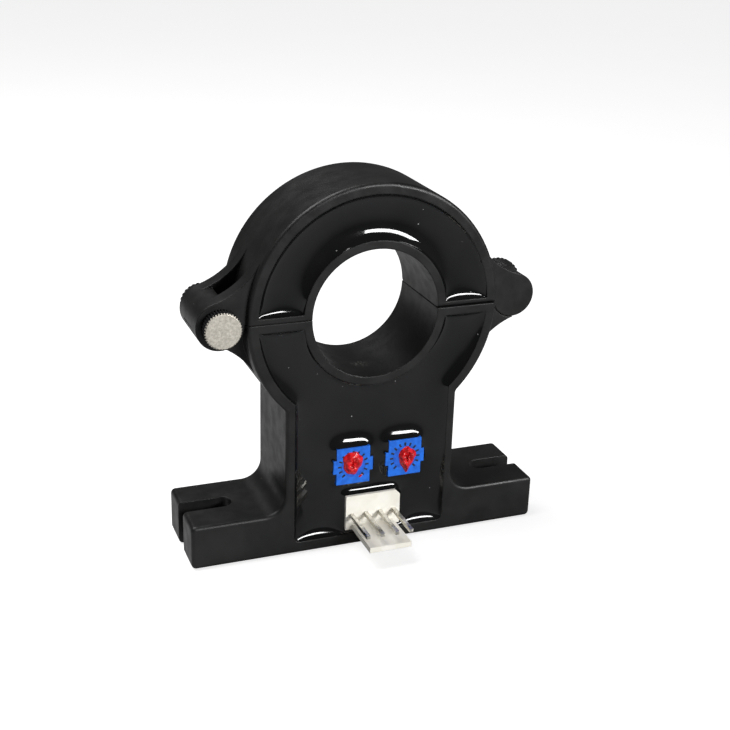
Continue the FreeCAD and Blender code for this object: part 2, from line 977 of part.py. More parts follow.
def make_header_pin(number, x):
    label = f"header_pin_{number}"
    body = new_body(label)
    sketch = new_sketch(body, f"{label}_section", "XZ_Plane", ZERO)
    half = pin_square / 2
    draw_box(sketch, -half, half, -half, half)
    length = board_back - header_face + pin_length
    rod = pad(body, f"{label}_rod", sketch, length)

    def tip(edge):
        box = edge.BoundBox
        return box.YLength < 1e-4 and near(box.YMin, -length)

    bevel_edges(body, f"{label}_point", rod, pin_point, tip)
    place(body, x, board_back, header_level - pin_drop)
    return body


# Resin: fills each recess up to its set-back surface, round everything inside it

def make_fill(label, outline, inside):
    body = new_body(f"{label}_block")
    sketch = new_sketch(body, f"{label}_outline", "XZ_Plane", -recess_back)
    draw_outline(sketch, *outline)
    pad(body, f"{label}_pad", sketch, recess_depth - fill_setback)
    tool = inside[0]
    if len(inside) > 1:
        tool = doc.addObject("Part::MultiFuse", f"{label}_inside")
        tool.Shapes = inside
    fill = doc.addObject("Part::Cut", label)
    fill.Label = label
    fill.Base = body
    fill.Tool = tool
    doc.recompute()
    return fill


def make_all():
    lower_housing = make_lower_housing()
    upper_shell = make_upper_shell()
    upper_core, quarters = make_cores()
    board = make_board()
    element = make_hall_element()
    small_parts = make_small_parts()
    trimmers = []
    trimmers.extend(make_trimmer("trimmer_left", trimmer_left, trimmer_left_level))
    trimmers.extend(make_trimmer("trimmer_right", trimmer_right, trimmer_right_level))
    header = make_header()
    pins = []
    for number, x in enumerate(header_pin_places(), start=1):
        pins.append(make_header_pin(number, x))
    doc.recompute()
    potted = quarters + [board, element] + small_parts + trimmers + [header] + pins
    lower_fill = make_fill("lower_potting", lower_recess_outline(fill_clearance), potted)
    upper_fill = make_fill("upper_potting", upper_recess_outline(fill_clearance), [upper_core])
    fasteners = [make_hinge_pin(), make_clamp_screw(), make_clamp_nut()]
    return [lower_housing, upper_shell, upper_core, lower_fill, upper_fill] + potted + fasteners


def check(pieces):
    for thing in doc.Objects:
        if "Invalid" in thing.State or "Error" in thing.State:
            raise RuntimeError(f"{thing.Label} failed: {thing.State}")
    for piece in pieces:
        shape = piece.Shape
        if shape.isNull() or not shape.isValid():
            raise RuntimeError(f"{piece.Label} has no valid shape")
        if len(shape.Solids) != 1:
            raise RuntimeError(f"{piece.Label} has {len(shape.Solids)} solids")


pieces = make_all()
doc.recompute()
check(pieces)
os.makedirs("parts", exist_ok=True)
for piece in pieces:
    piece.Shape.exportStep(f"parts/{piece.Label}.step")
    print(piece.Label, round(piece.Shape.Volume, 3))
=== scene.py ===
import json
import math

import bpy
import bmesh
import numpy as np
from mathutils import Matrix, Vector
from mathutils.geometry import delaunay_2d_cdt


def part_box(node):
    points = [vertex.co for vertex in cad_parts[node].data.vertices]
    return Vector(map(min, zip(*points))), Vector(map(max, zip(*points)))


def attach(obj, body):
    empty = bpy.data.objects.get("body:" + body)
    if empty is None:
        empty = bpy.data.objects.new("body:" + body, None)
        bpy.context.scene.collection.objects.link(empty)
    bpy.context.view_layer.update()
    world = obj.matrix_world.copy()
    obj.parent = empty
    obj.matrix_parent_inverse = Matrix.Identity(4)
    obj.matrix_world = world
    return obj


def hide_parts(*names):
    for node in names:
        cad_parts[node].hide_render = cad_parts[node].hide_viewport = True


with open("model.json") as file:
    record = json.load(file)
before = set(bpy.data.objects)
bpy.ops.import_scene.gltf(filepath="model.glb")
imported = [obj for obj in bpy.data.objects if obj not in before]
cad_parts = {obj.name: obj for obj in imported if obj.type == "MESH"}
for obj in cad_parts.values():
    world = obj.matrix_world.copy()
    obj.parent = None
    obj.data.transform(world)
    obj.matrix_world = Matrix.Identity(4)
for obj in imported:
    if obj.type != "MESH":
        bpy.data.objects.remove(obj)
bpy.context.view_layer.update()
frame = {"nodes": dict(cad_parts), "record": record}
nodes = frame["nodes"]
MM = 0.001

# Sizes of the solids in millimetres
AXIS_Z = 41.5
FRONT = -7.7
RIM_RADIUS = 19.6
TUBE_RADIUS = 12.2
RECESS_HALF = 13.5
FLOOR_Z = 2.1
RECESS_BACK = 6.2
CORNER = 1.0
LOWER_SPLIT = 40.04
UPPER_SPLIT = 42.46

# The resin's surface in millimetres: the y of its level, the reach of the wide lift along its
# edges and that lift at a wall, and the reach and height of a narrow fillet on top
LEVEL = -5.9
WETTING = 2.2
WALL_CLIMB = 1.45
FILLET = 0.35
FILLET_CLIMB = 0.3


# Materials

class Paint:
    """A node material, its shader and short ways to add texture to it."""

    def __init__(self, name, color, roughness, **sockets):
        self.material = bpy.data.materials.new(name)
        self.material.use_nodes = True
        self.tree = self.material.node_tree
        self.shader = self.tree.nodes["Principled BSDF"]
        self.shader.inputs["Base Color"].default_value = (*color, 1)
        self.shader.inputs["Roughness"].default_value = roughness
        for socket, value in sockets.items():
            self.shader.inputs[socket.replace("_", " ")].default_value = value
        self.place = self.node("ShaderNodeTexCoord").outputs["Object"]

    def node(self, kind, **values):
        """A new node, with values for its sockets and properties."""
        node = self.tree.nodes.new(kind)
        for key, value in values.items():
            if key in node.inputs:
                node.inputs[key].default_value = value
            else:
                setattr(node, key, value)
        return node

    def link(self, source, target):
        self.tree.links.new(source, target)

    def noise(self, size_mm, detail=3.0, stretch=None):
        """Noise whose lumps are about this many millimetres across."""
        node = self.node("ShaderNodeTexNoise", Scale=1 / (size_mm * MM), Detail=detail)
        if stretch is None:
            self.link(self.place, node.inputs["Vector"])
        else:
            mapping = self.node("ShaderNodeMapping", Scale=stretch)
            self.link(self.place, mapping.inputs["Vector"])
            self.link(mapping.outputs["Vector"], node.inputs["Vector"])
        return node.outputs["Fac"]

    def spread(self, fac, low, high, start=0.35, end=0.65):
        """Maps the middle of a noise to the range low to high."""
        node = self.node("ShaderNodeMapRange")
        limits = {"From Min": start, "From Max": end, "To Min": low, "To Max": high}
        for key, value in limits.items():
            node.inputs[key].default_value = value
        self.link(fac, node.inputs["Value"])
        return node.outputs["Result"]

    def tint(self, fac, first, second, start=0.4, end=0.6):
        """Varies the colour from first to second."""
        ramp = self.node("ShaderNodeValToRGB")
        ramp.color_ramp.elements[0].position = start
        ramp.color_ramp.elements[1].position = end
        ramp.color_ramp.elements[0].color = (*first, 1)
        ramp.color_ramp.elements[1].color = (*second, 1)
        self.link(fac, ramp.inputs["Fac"])
        self.link(ramp.outputs["Color"], self.shader.inputs["Base Color"])

    def math(self, operation, first, second=0.0):
        """An operation on two values, each a number or an output of a node."""
        node = self.node("ShaderNodeMath", operation=operation)
        for socket, value in zip(node.inputs, (first, second)):
            if isinstance(value, float):
                socket.default_value = value
            else:
                self.link(value, socket)
        return node.outputs["Value"]

    def near(self, spot_mm, radius_mm, stretch=(1, 1, 1)):
        """1 at a spot of the object, falling to 0 at a radius."""
        away = self.node("ShaderNodeVectorMath", operation="SUBTRACT")
        self.link(self.place, away.inputs[0])
        away.inputs[1].default_value = [c * MM for c in spot_mm]
        scaled = self.node("ShaderNodeVectorMath", operation="MULTIPLY")
        self.link(away.outputs["Vector"], scaled.inputs[0])
        scaled.inputs[1].default_value = stretch
        length = self.node("ShaderNodeVectorMath", operation="LENGTH")
        self.link(scaled.outputs["Vector"], length.inputs[0])
        return self.spread(length.outputs["Value"], 1.0, 0.0, 0.0, radius_mm * MM)

    def specks(self, spacing_mm, radius_mm):
        """A few grains of dust, their outer 0.3 of the radius soft."""
        node = self.node("ShaderNodeTexVoronoi", Scale=1 / (spacing_mm * MM))
        self.link(self.place, node.inputs["Vector"])
        reach = radius_mm / spacing_mm
        return self.spread(node.outputs["Distance"], 1.0, 0.0, reach * 0.7, reach)

    def overlay(self, fac, color):
        """Lays another colour over the one so far where fac is high."""
        # the sockets for colours share their names with others, so these are their numbers
        factor, under, over, result = 0, 6, 7, 2
        mix = self.node("ShaderNodeMix", data_type="RGBA")
        target = self.shader.inputs["Base Color"]
        self.link(fac, mix.inputs[factor])
        self.link(target.links[0].from_socket, mix.inputs[under])
        mix.inputs[over].default_value = (*color, 1)
        self.link(mix.outputs[result], target)

    def rough(self, fac, low, high):
        """Varies the roughness from low to high."""
        self.link(self.spread(fac, low, high), self.shader.inputs["Roughness"])

    def bump(self, *layers, edge_mm=0.0):
        """Layers of (noise, depth in millimetres), over edges softened by edge_mm."""
        normal = None
        if edge_mm:
            soft = self.node("ShaderNodeBevel", Radius=edge_mm * MM, samples=4)
            normal = soft.outputs["Normal"]
        for fac, depth in layers:
            node = self.node("ShaderNodeBump", Strength=1.0, Distance=depth * MM)
            self.link(fac, node.inputs["Height"])
            if normal is not None:
                self.link(normal, node.inputs["Normal"])
            normal = node.outputs["Normal"]
        self.link(normal, self.shader.inputs["Normal"])


def make_housing_paint():
    paint = Paint("moulded_black", (0.008, 0.008, 0.008), 0.4, Specular_IOR_Level=0.4)
    paint.tint(paint.noise(6, 4), (0.006, 0.0062, 0.006), (0.0105, 0.0108, 0.0104))
    # a pale smear at the bottom of the bore, and dust
    smear = paint.near((-0.3, -1.85, 30.7), 1.6, (0.8, 1, 1))
    flecks = paint.spread(paint.noise(0.35, 3), 0.0, 1.0, 0.5, 0.62)
    paint.overlay(paint.math("MULTIPLY", smear, flecks), (0.16, 0.16, 0.15))
    paint.overlay(paint.math("MULTIPLY", paint.specks(4.3, 0.1), 0.6), (0.3, 0.3, 0.28))
    paint.rough(paint.noise(2.2, 5), 0.34, 0.46)
    paint.bump((paint.noise(3.5, 2), 0.03), (paint.noise(0.28, 2), 0.012), edge_mm=0.3)
    return paint.material


def make_resin_paint():
    paint = Paint("black_resin", (0.004, 0.004, 0.0045), 0.05, IOR=1.5)
    paint.tint(paint.noise(9, 3), (0.003, 0.0032, 0.0034), (0.006, 0.006, 0.0064))
    paint.overlay(paint.math("MULTIPLY", paint.specks(3.1, 0.13), 0.7), (0.35, 0.35, 0.34))
    paint.rough(paint.noise(4, 5), 0.035, 0.09)
    paint.bump((paint.noise(7, 1), 0.05), (paint.noise(0.9, 2), 0.0015))
    return paint.material


def make_blue_paint():
    paint = Paint("trimmer_blue", (0.01, 0.13, 0.78), 0.4)
    paint.tint(paint.noise(1.1, 3), (0.005, 0.12, 0.62), (0.009, 0.165, 0.8))
    paint.rough(paint.noise(0.7, 3), 0.34, 0.5)
    paint.bump((paint.noise(0.35, 2), 0.01), edge_mm=0.1)
    return paint.material


def make_mark_paint():
    paint = Paint("tick_ink", (0.006, 0.008, 0.02), 0.5)
    paint.tint(paint.noise(0.3, 2), (0.004, 0.006, 0.015), (0.01, 0.014, 0.04))
    paint.bump((paint.noise(0.1, 2), 0.008))
    return paint.material


def make_dial_paint():
    paint = Paint("dial_plastic", (0.01, 0.11, 0.68), 0.4)
    paint.tint(paint.noise(0.8, 3), (0.006, 0.09, 0.55), (0.012, 0.13, 0.72))
    paint.bump((paint.noise(0.3, 2), 0.01), edge_mm=0.08)
    return paint.material


def make_lacquer_paint():
    paint = Paint("sealing_lacquer", (0.62, 0.008, 0.012), 0.12)
    paint.tint(paint.noise(0.7, 3), (0.42, 0.004, 0.008), (0.78, 0.016, 0.02))
    paint.rough(paint.noise(0.5, 3), 0.06, 0.24)
    paint.bump((paint.noise(0.55, 3), 0.16), (paint.noise(0.16, 2), 0.02))
    return paint.material


def make_nylon_paint():
    paint = Paint("header_nylon", (0.88, 0.85, 0.77), 0.42)
    paint.tint(paint.noise(2.5, 4), (0.88, 0.85, 0.76), (0.94, 0.92, 0.85))
    paint.rough(paint.noise(1.2, 3), 0.36, 0.52)
    paint.bump((paint.noise(0.5, 3), 0.012), edge_mm=0.14)
    return paint.material


def make_tin_paint():
    paint = Paint("tinned_pin", (0.72, 0.7, 0.64), 0.28, Metallic=1.0)
    paint.tint(paint.noise(0.8, 4), (0.6, 0.58, 0.52), (0.8, 0.78, 0.72))
    paint.rough(paint.noise(0.6, 3, (1, 0.2, 1)), 0.2, 0.42)
    paint.bump((paint.noise(0.25, 2, (1, 0.15, 1)), 0.006), edge_mm=0.06)
    return paint.material


def make_nickel_paint():
    paint = Paint("nickel_plate", (0.7, 0.66, 0.59), 0.5, Metallic=1.0)
    paint.tint(paint.noise(0.35, 4), (0.6, 0.565, 0.5), (0.74, 0.7, 0.625))
    # painted shade: the knurled sides are painted dark, as the dark surroundings they reflect
    # make them look, and the ends stay bright
    normal = paint.node("ShaderNodeTexCoord").outputs["Normal"]
    split = paint.node("ShaderNodeSeparateXYZ")
    paint.link(normal, split.inputs["Vector"])
    facing_for_painted_shade = paint.math("ABSOLUTE", split.outputs["Y"])
    # the dark laid over the sides, by how far each faces away from the front and back, is
    # painted shade
    paint.overlay(paint.spread(facing_for_painted_shade, 1.0, 0.0, 0.3, 0.55), (0.03, 0.03, 0.032))
    paint.rough(paint.noise(0.5, 4), 0.46, 0.6)
    paint.bump((paint.noise(0.3, 3), 0.008), (paint.noise(0.09, 2), 0.005), edge_mm=0.1)
    return paint.material


def make_core_paint():
    paint = Paint("core_laminations", (0.22, 0.22, 0.23), 0.4, Metallic=0.9)
    sheets = paint.noise(0.35, 1, (0.02, 1, 0.02))
    paint.tint(sheets, (0.15, 0.15, 0.16), (0.3, 0.3, 0.31))
    paint.rough(paint.noise(1, 3), 0.3, 0.5)
    paint.bump((sheets, 0.02))
    return paint.material


def make_knob_paint():
    paint = Paint("knob_black", (0.01, 0.01, 0.011), 0.22)
    paint.tint(paint.noise(1.2, 3), (0.007, 0.007, 0.008), (0.014, 0.014, 0.015))
    paint.rough(paint.noise(0.6, 3), 0.16, 0.32)
    paint.bump((paint.noise(0.3, 2), 0.008), edge_mm=0.06)
    return paint.material


def make_board_paint():
    paint = Paint("board_laminate", (0.03, 0.22, 0.08), 0.4)
    paint.tint(paint.noise(0.5, 2), (0.02, 0.17, 0.06), (0.04, 0.26, 0.1))
    paint.bump((paint.noise(0.4, 2), 0.01))
    return paint.material


def make_ceramic_paint():
    paint = Paint("capacitor_ceramic", (0.5, 0.36, 0.2), 0.4)
    paint.tint(paint.noise(0.4, 2), (0.42, 0.3, 0.16), (0.58, 0.42, 0.25))
    paint.bump((paint.noise(0.3, 2), 0.01))
    return paint.material


PAINTS = {
    "housing_black": make_housing_paint(),
    "potting_resin": make_resin_paint(),
    "core_iron": make_core_paint(),
    "board_laminate": make_board_paint(),
    "capacitor_ceramic": make_ceramic_paint(),
    "trimmer_blue": make_blue_paint(),
    "dial_white": make_dial_paint(),
    "lacquer_red": make_lacquer_paint(),
    "header_nylon": make_nylon_paint(),
    "pin_tin": make_tin_paint(),
    "knob_black": make_knob_paint(),
    "screw_nickel": make_nickel_paint(),
}
PAINTS["chip_plastic"] = PAINTS["housing_black"]
MARK_PAINT = make_mark_paint()

SLOT_OF = {entry["node"]: entry["material_slot"] for entry in frame["record"]["subparts"]}
for name, thing in nodes.items():
    paint = PAINTS[SLOT_OF[name]]
    if not thing.material_slots:
        thing.data.materials.append(paint)
    for slot in thing.material_slots:
        slot.material = paint


# Mesh helpers

def add_piece(name, vertices, faces, paint, body, smooth=True):
    """A mesh piece from points in millimetres."""
    mesh = bpy.data.meshes.new(name)
    mesh.from_pydata([tuple(c * MM for c in v) for v in vertices], [], faces)
    mesh.validate()
    work = bmesh.new()
    work.from_mesh(mesh)
    bmesh.ops.recalc_face_normals(work, faces=work.faces)
    work.to_mesh(mesh)
    work.free()
    if smooth:
        mesh.shade_smooth()
    mesh.materials.append(paint)
    piece = bpy.data.objects.new(name, mesh)
    bpy.context.scene.collection.objects.link(piece)
    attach(piece, body)
    return piece


def arc(centre_x, centre_z, radius, start, stop, step=2.0):
    """Points on an arc, angles in degrees."""
    count = max(2, int(abs(stop - start) / step) + 1)
    angles = np.radians(np.linspace(start, stop, count))
    return [(centre_x + radius * math.cos(a), centre_z + radius * math.sin(a)) for a in angles]


def refine(points, step):
    """Splits the long sides of a closed outline."""
    result = []
    for index, (x, z) in enumerate(points):
        to_x, to_z = points[(index + 1) % len(points)]
        count = max(1, int(math.dist((x, z), (to_x, to_z)) / step))
        for part in range(count):
            t = part / count
            result.append((x + (to_x - x) * t, z + (to_z - z) * t))
    return result


def distance_to(points, outline):
    """The distance of each point from a closed outline."""
    a = np.array(outline)
    b = np.roll(a, -1, axis=0)
    side = b - a
    length = (side ** 2).sum(1)
    best = np.full(len(points), np.inf)
    for start, step, square in zip(a, side, length):
        t = np.clip(((points - start) @ step) / square, 0, 1)
        foot = start + t[:, None] * step
        best = np.minimum(best, np.hypot(*(points - foot).T))
    return best


def inside(points, outline):
    """Which points lie inside a closed outline."""
    a = np.array(outline)
    b = np.roll(a, -1, axis=0)
    result = np.zeros(len(points), bool)
    for (x0, y0), (x1, y1) in zip(a, b):
        if y0 == y1:
            continue
        crosses = (points[:, 1] < y0) != (points[:, 1] < y1)
        at = x0 + (points[:, 1] - y0) * (x1 - x0) / (y1 - y0)
        result ^= crosses & (points[:, 0] < at)
    return result


def meniscus(flat, faces, heights, reach):
    """The liquid's level from its heights at the edges: gravity flattens it, the edges lift it.

    Solves level = reach ** 2 * laplacian(level) on the triangles, by conjugate gradients.
    The first points are the edges, and heights are theirs.
    """
    most_rounds = 400
    small_enough = 1e-14
    first = faces.ravel()
    second = np.roll(faces, -1, axis=1).ravel()
    third = np.roll(faces, -2, axis=1).ravel()
    u = flat[first] - flat[third]
    v = flat[second] - flat[third]
    area = np.abs(u[:, 0] * v[:, 1] - u[:, 1] * v[:, 0])
    weight = (u * v).sum(1) / area / 2
    count = len(flat)
    mass = np.bincount(first, area / 6, count) / reach ** 2

    def apply(level):
        flow = weight * (level[first] - level[second])
        return np.bincount(first, flow, count) - np.bincount(second, flow, count) + mass * level

    level = np.zeros(count)
    level[:len(heights)] = heights
    free = np.arange(count) >= len(heights)
    rest = np.where(free, -apply(level), 0)
    way = rest.copy()
    power = rest @ rest
    for _ in range(most_rounds):
        push = np.where(free, apply(way), 0)
        step = power / (way @ push)
        level += step * way
        rest -= step * push
        fresh = rest @ rest
        if fresh < small_enough:
            break
        way = rest + fresh / power * way
        power = fresh
    return level


def fill_points(loops):
    """Grid points inside the first loop and outside the others, closer together near a loop."""
    # each grid's step, and the least and most distance from the loops that it fills
    grids = ((0.17, 0.1, 0.9), (0.36, 0.9, np.inf))
    row_height = 0.87
    low = np.min(loops[0], axis=0)
    high = np.max(loops[0], axis=0)
    points = []
    for step, nearer, farther in grids:
        xs = np.arange(low[0], high[0], step)
        zs = np.arange(low[1], high[1], step * row_height)
        grid = np.array([(x + (row % 2) * step / 2, z) for row, z in enumerate(zs) for x in xs])
        grid = grid[inside(grid, loops[0])]
        away = np.full(len(grid), np.inf)
        for index, loop in enumerate(loops):
            away = np.minimum(away, distance_to(grid, loop))
            if index:
                away[inside(grid, loop)] = 0
        points += [tuple(p) for p in grid[(away > nearer) & (away <= farther)]]
    return points


def triangulate(loops):
    """Triangles inside the first loop and outside the others. The loops' points come first."""
    points = [tuple(p) for loop in loops for p in loop] + fill_points(loops)
    edges = []
    start = 0
    for loop in loops:
        edges += [(start + i, start + (i + 1) % len(loop)) for i in range(len(loop))]
        start += len(loop)
    keep_all, tolerance = 0, 1e-6
    result = delaunay_2d_cdt([Vector(p) for p in points], edges, [], keep_all, tolerance)
    flat = np.array([tuple(v) for v in result[0]])
    faces = np.array(result[2])
    middle = flat[faces].mean(1)
    wanted = inside(middle, loops[0])
    for loop in loops[1:]:
        wanted &= ~inside(middle, loop)
    return flat, faces[wanted]


def add_resin(name, outline, holes, climbs, node, body):
    """A pour of resin: a dense front surface that climbs its edges, with sides and a back."""
    loops = [refine(outline, 0.3)] + [refine(hole, 0.25) for hole in holes]
    flat, faces = triangulate(loops)
    heights = np.concatenate([climb(np.array(loop)) for climb, loop in zip(climbs, loops)])
    fillet = np.full(len(heights), FILLET_CLIMB)
    lift = meniscus(flat, faces, heights, WETTING) + meniscus(flat, faces, fillet, FILLET)
    front = LEVEL - lift - ripple(flat, 3.0, 0.01)
    count = len(flat)
    vertices = [(x, y, z) for (x, z), y in zip(flat, front)]
    vertices += [(x, RECESS_BACK, z) for x, z in flat]
    solid = [tuple(f) for f in faces.tolist()]
    sides = dict.fromkeys(edge for a, b, c in solid for edge in ((a, b), (b, c), (c, a)))
    solid += [(a + count, c + count, b + count) for a, b, c in faces.tolist()]
    solid += [(b, a, a + count, b + count) for a, b in sides if (b, a) not in sides]
    piece = add_piece(name, vertices, solid, PAINTS["potting_resin"], body)
    piece.data.set_sharp_from_angle(angle=math.radians(60))
    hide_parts(node)


# The two pours of resin

def recess_outline(inset=0.02):
    """The housing's recess, just inside its walls."""
    outer = RIM_RADIUS - inset
    tube = TUBE_RADIUS + inset
    half = RECESS_HALF - inset
    floor = FLOOR_Z + inset
    drop = AXIS_Z - LOWER_SPLIT + inset
    low = math.degrees(math.asin(drop / outer))
    neck = math.degrees(math.acos(half / outer))
    inner = math.degrees(math.asin(drop / tube))
    right = arc(half - CORNER, floor + CORNER, CORNER, -90, 0, 15)
    right += arc(0, AXIS_Z, outer, -neck, -low)
    cradle = arc(0, AXIS_Z, tube, -inner, -180 + inner)
    left = arc(0, AXIS_Z, outer, -180 + low, -180 + neck)
    left += arc(-half + CORNER, floor + CORNER, CORNER, 180, 270, 15)
    return right + cradle + left


def shell_outline(inset=0.02):
    """The shell's recess, just inside its walls."""
    outer = RIM_RADIUS - inset
    tube = TUBE_RADIUS + inset
    rise = UPPER_SPLIT - AXIS_Z + inset
    low = math.degrees(math.asin(rise / outer))
    inner = math.degrees(math.asin(rise / tube))
    return arc(0, AXIS_Z, outer, low, 180 - low) + arc(0, AXIS_Z, tube, 180 - inner, inner)


def trimmer_hole(case, overlap=0.14):
    """The part of a trimmer's face that the resin leaves bare."""
    low, high = (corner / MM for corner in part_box(case))
    x0, x1 = low.x + overlap, high.x - overlap
    z0, z1 = low.z + overlap, high.z - overlap
    mid = (low.z + high.z) / 2
    # a lug on each side, and a notch in one corner
    lug = 0.55
    half_lug = 1.2 - overlap
    chamfer = 0.15
    notch_x, notch_z = 0.4, 0.5
    return [
        (x0 + lug, z0), (x1 - lug, z0),
        (x1 - lug, mid - half_lug), (x1, mid - half_lug + chamfer),
        (x1, mid + half_lug - chamfer), (x1 - lug, mid + half_lug),
        (x1 - lug, z1 - notch_z), (x1 - lug - notch_x, z1),
        (x0 + lug, z1),
        (x0 + lug, mid + half_lug), (x0, mid + half_lug - chamfer),
        (x0, mid - half_lug + chamfer), (x0 + lug, mid - half_lug),
    ]


def header_hole():
    """The header's outline, with its one bevelled corner."""
    low, high = (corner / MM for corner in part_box("header_body"))
    bevel = 0.85
    return [
        (low.x, low.z), (high.x, low.z), (high.x, high.z - bevel), (high.x - bevel, high.z),
        (low.x, high.z),
    ]


def ripple(flat, size, depth):
    """A gentle unevenness of the surface, the same on each run."""
    x, z = flat.T / size
    wave = np.sin(x * 1.7 + 0.6 * np.sin(z * 1.3)) * np.sin(z * 1.9 + 0.8 * np.sin(x * 0.9 + 2))
    return wave * depth


def ease(t):
    """0 to 1 for t from 0 to 1, level at both ends."""
    t = np.clip(t, 0, 1)
    return t * t * (3 - 2 * t)


def wall_climb(points):
    """How high the resin stands on the housing's walls, least under the tube."""
    least = 0.8
    margin, fade = 1, 8
    x, z = points.T
    at_tube = np.hypot(x, z - AXIS_Z) < TUBE_RADIUS + 0.3
    under = ease((LOWER_SPLIT - margin - z) / fade) * at_tube
    return WALL_CLIMB - (WALL_CLIMB - least) * under


def shell_climb(points):
    """How high the resin stands on the shell's walls, least along the split."""
    least_left, least_right = 0.85, 1.1
    fade = 3
    x, z = points.T
    least = np.where(x < 0, least_left, least_right)
    return least + (WALL_CLIMB - least) * ease((z - UPPER_SPLIT) / fade)


def trimmer_climb(points):
    """Higher over a trimmer than under it."""
    least = 0.95
    z = points[:, 1]
    up = (z - z.min()) / np.ptp(z)
    return least + (WALL_CLIMB - least) * np.clip(up * 2, 0, 1)


def header_climb(points):
    """The same all round the header, as high as on a wall."""
    return np.full(len(points), WALL_CLIMB)


add_resin(
    "lower_resin",
    recess_outline(),
    [trimmer_hole("trimmer_left_case"), trimmer_hole("trimmer_right_case"), header_hole()],
    [wall_climb, trimmer_climb, trimmer_climb, header_climb],
    "lower_potting",
    "base",
)
add_resin("upper_resin", shell_outline(), [], [shell_climb], "upper_potting", "lid")


# Trimmer marks and sealing lacquer

def add_marks(name, case):
    """Short raised ticks round the dial, with a bevel round their tops."""
    low, high = (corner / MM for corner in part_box(case))
    cx = (low.x + high.x) / 2
    cz = (low.z + high.z) / 2
    inner, outer, half_width = 2.1, 2.72, 0.15
    bevel = 0.03
    sections = ((FRONT + 0.01, 0.0), (FRONT - 0.03, 0.0), (FRONT - 0.045, bevel))
    ticks, first_angle, spacing = 13, -45, 22.5
    vertices = []
    faces = []
    for number in range(ticks):
        angle = math.radians(first_angle + spacing * number)
        along = Vector((math.cos(angle), math.sin(angle)))
        across = Vector((-along.y, along.x))
        first = len(vertices)
        for y, shrink in sections:
            near, far, side = inner + shrink, outer - shrink, half_width - shrink
            for reach, sideways in ((near, -side), (far, -side), (far, side), (near, side)):
                p = Vector((cx, cz)) + along * reach + across * sideways
                vertices.append((p.x, y, p.y))
        for level in range(2):
            for k in range(4):
                a = first + level * 4 + k
                b = first + level * 4 + (k + 1) % 4
                faces.append((a, b, b + 4, a + 4))
        faces.append(tuple(first + k for k in range(4)))
        faces.append(tuple(first + 8 + k for k in range(3, -1, -1)))
    add_piece(name, vertices, faces, MARK_PAINT, "base", smooth=False)


def disc_faces(first, rings, around):
    """Faces of a middle point and the rings round it, numbered from first."""
    faces = [(first, first + 1 + k, first + 1 + (k + 1) % around) for k in range(around)]
    for ring in range(rings - 1):
        for k in range(around):
            a = first + 1 + ring * around + k
            b = first + 1 + ring * around + (k + 1) % around
            faces.append((a, a + around, b + around, b))
    return faces


def add_lacquer(name, node, cx, cz, half_x, half_z, drip, seed, drops=()):
    """A lumpy blob of lacquer on the dial, thin in the middle, with an optional drip.

    Drops are small ones beside it, each (x and z from the middle, half sizes, turn).
    """
    rng = np.random.default_rng(seed)
    rings = 26
    around = 72
    phase = rng.uniform(0, 6.28, 6)
    middle_height, flat_height = 0.28, 0.3
    # a thick ring on the blob: its height, and its place and width as parts of the radius
    bulge_height, bulge_place, bulge_width = 0.42, 0.62, 0.24
    vertices = [(cx, FRONT - middle_height, cz)]
    for ring in range(1, rings + 1):
        u = ring / rings
        edge = math.sqrt(max(0.0, 1 - u ** 3))
        for k in range(around):
            a = 2 * math.pi * k / around
            # the outline's waves and the drip
            wobble = 1 + 0.06 * math.sin(3 * a + phase[0]) + 0.045 * math.sin(5 * a + phase[1])
            wobble += 0.03 * math.sin(8 * a + phase[2])
            down = max(0.0, -math.sin(a)) ** 6
            x = half_x * math.cos(a) * wobble * (1 - 0.35 * down * (drip > 0))
            z = half_z * math.sin(a) * wobble - drip * down
            # the lumps, strongest in the middle, on the flat and the thick ring
            lump = 0.09 * math.sin(4 * a + phase[3] + 5 * u)
            lump += 0.07 * math.sin(7 * a - 6 * u + phase[4])
            lump += 0.05 * math.sin(11 * u + 3 * a + phase[5])
            bulge = bulge_height * math.exp(-((u - bulge_place) / bulge_width) ** 2)
            rise = (flat_height + bulge + lump * (1 - u) * 1.6) * edge
            vertices.append((cx + x * u, FRONT + 0.02 - max(rise, 0.0), cz + z * u))
    faces = disc_faces(0, rings, around)
    # a low wall and a back close the blob
    base = len(vertices)
    rim = 1 + (rings - 1) * around
    for x, y, z in vertices[rim:]:
        vertices.append((x, FRONT + 0.06, z))
    for k in range(around):
        beside = (k + 1) % around
        faces.append((rim + k, base + k, base + beside, rim + beside))
    faces.append(tuple(base + k for k in range(around)))
    for dx, dz, rx, rz, turn in drops:
        join_drop(vertices, faces, cx + dx, cz + dz, rx, rz, turn)
    piece = add_piece(name, vertices, faces, PAINTS["lacquer_red"], "base")
    piece.data.set_sharp_from_angle(angle=math.radians(70))
    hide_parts(node)


def join_drop(vertices, faces, cx, cz, rx, rz, turn):
    """Adds a small separate drop to the points and faces of a blob."""
    rings = 6
    around = 24
    first = len(vertices)
    cos, sin = math.cos(turn), math.sin(turn)
    vertices.append((cx, FRONT - 0.16, cz))
    for ring in range(1, rings + 1):
        u = ring / rings
        y = FRONT + 0.02 - 0.18 * math.sqrt(max(0.0, 1 - u * u))
        for k in range(around):
            a = 2 * math.pi * k / around
            x = rx * math.cos(a) * u
            z = rz * math.sin(a) * u
            vertices.append((cx + x * cos - z * sin, y, cz + x * sin + z * cos))
    faces += disc_faces(first, rings, around)
    rim = first + 1 + (rings - 1) * around
    faces.append(tuple(rim + k for k in range(around)))


add_marks("trimmer_left_marks", "trimmer_left_case")
add_marks("trimmer_right_marks", "trimmer_right_case")
add_lacquer(
    "left_lacquer_blob", "trimmer_left_lacquer",
    cx=-3.4, cz=15.55, half_x=1.75, half_z=2.1, drip=0.0, seed=3,
    drops=[(1.5, -2.6, 0.42, 0.2, 0.6)],
)
add_lacquer(
    "right_lacquer_blob", "trimmer_right_lacquer",
    cx=6.45, cz=15.5, half_x=1.6, half_z=1.6, drip=1.7, seed=8,
)


